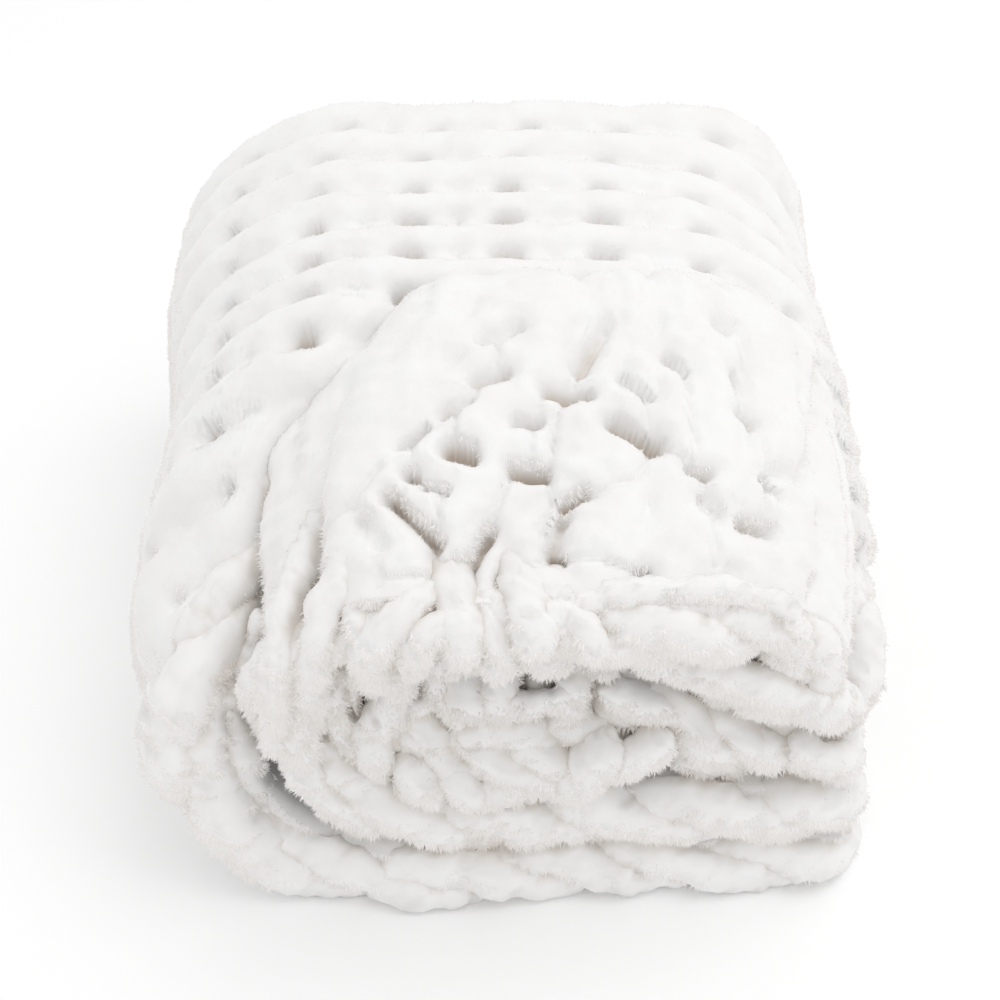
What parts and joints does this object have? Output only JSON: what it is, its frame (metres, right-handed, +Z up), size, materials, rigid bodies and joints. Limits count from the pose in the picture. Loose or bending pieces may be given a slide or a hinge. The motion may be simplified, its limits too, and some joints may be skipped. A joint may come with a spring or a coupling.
{
  "type": "chunky knit blanket",
  "caption": "Thick white chenille knit throw, folded in half and loosely rolled into a soft flat bundle, open at its front end.",
  "frame": {"origin": "on the surface it lies on, under the middle of the bundle's bounding box", "axes": "+Z up; the roll's axis runs along Y, its open, layered end faces -Y and its folded end faces +Y; +X is to the right seen from the open end"},
  "size_m": [0.4322, 0.4752, 0.2685],
  "materials": {
    "blanket": "deep, soft chenille pile, matt, off-white"
  },
  "bodies": {
    "root": {"blanket": "blanket"}
  },
  "joints": []
}
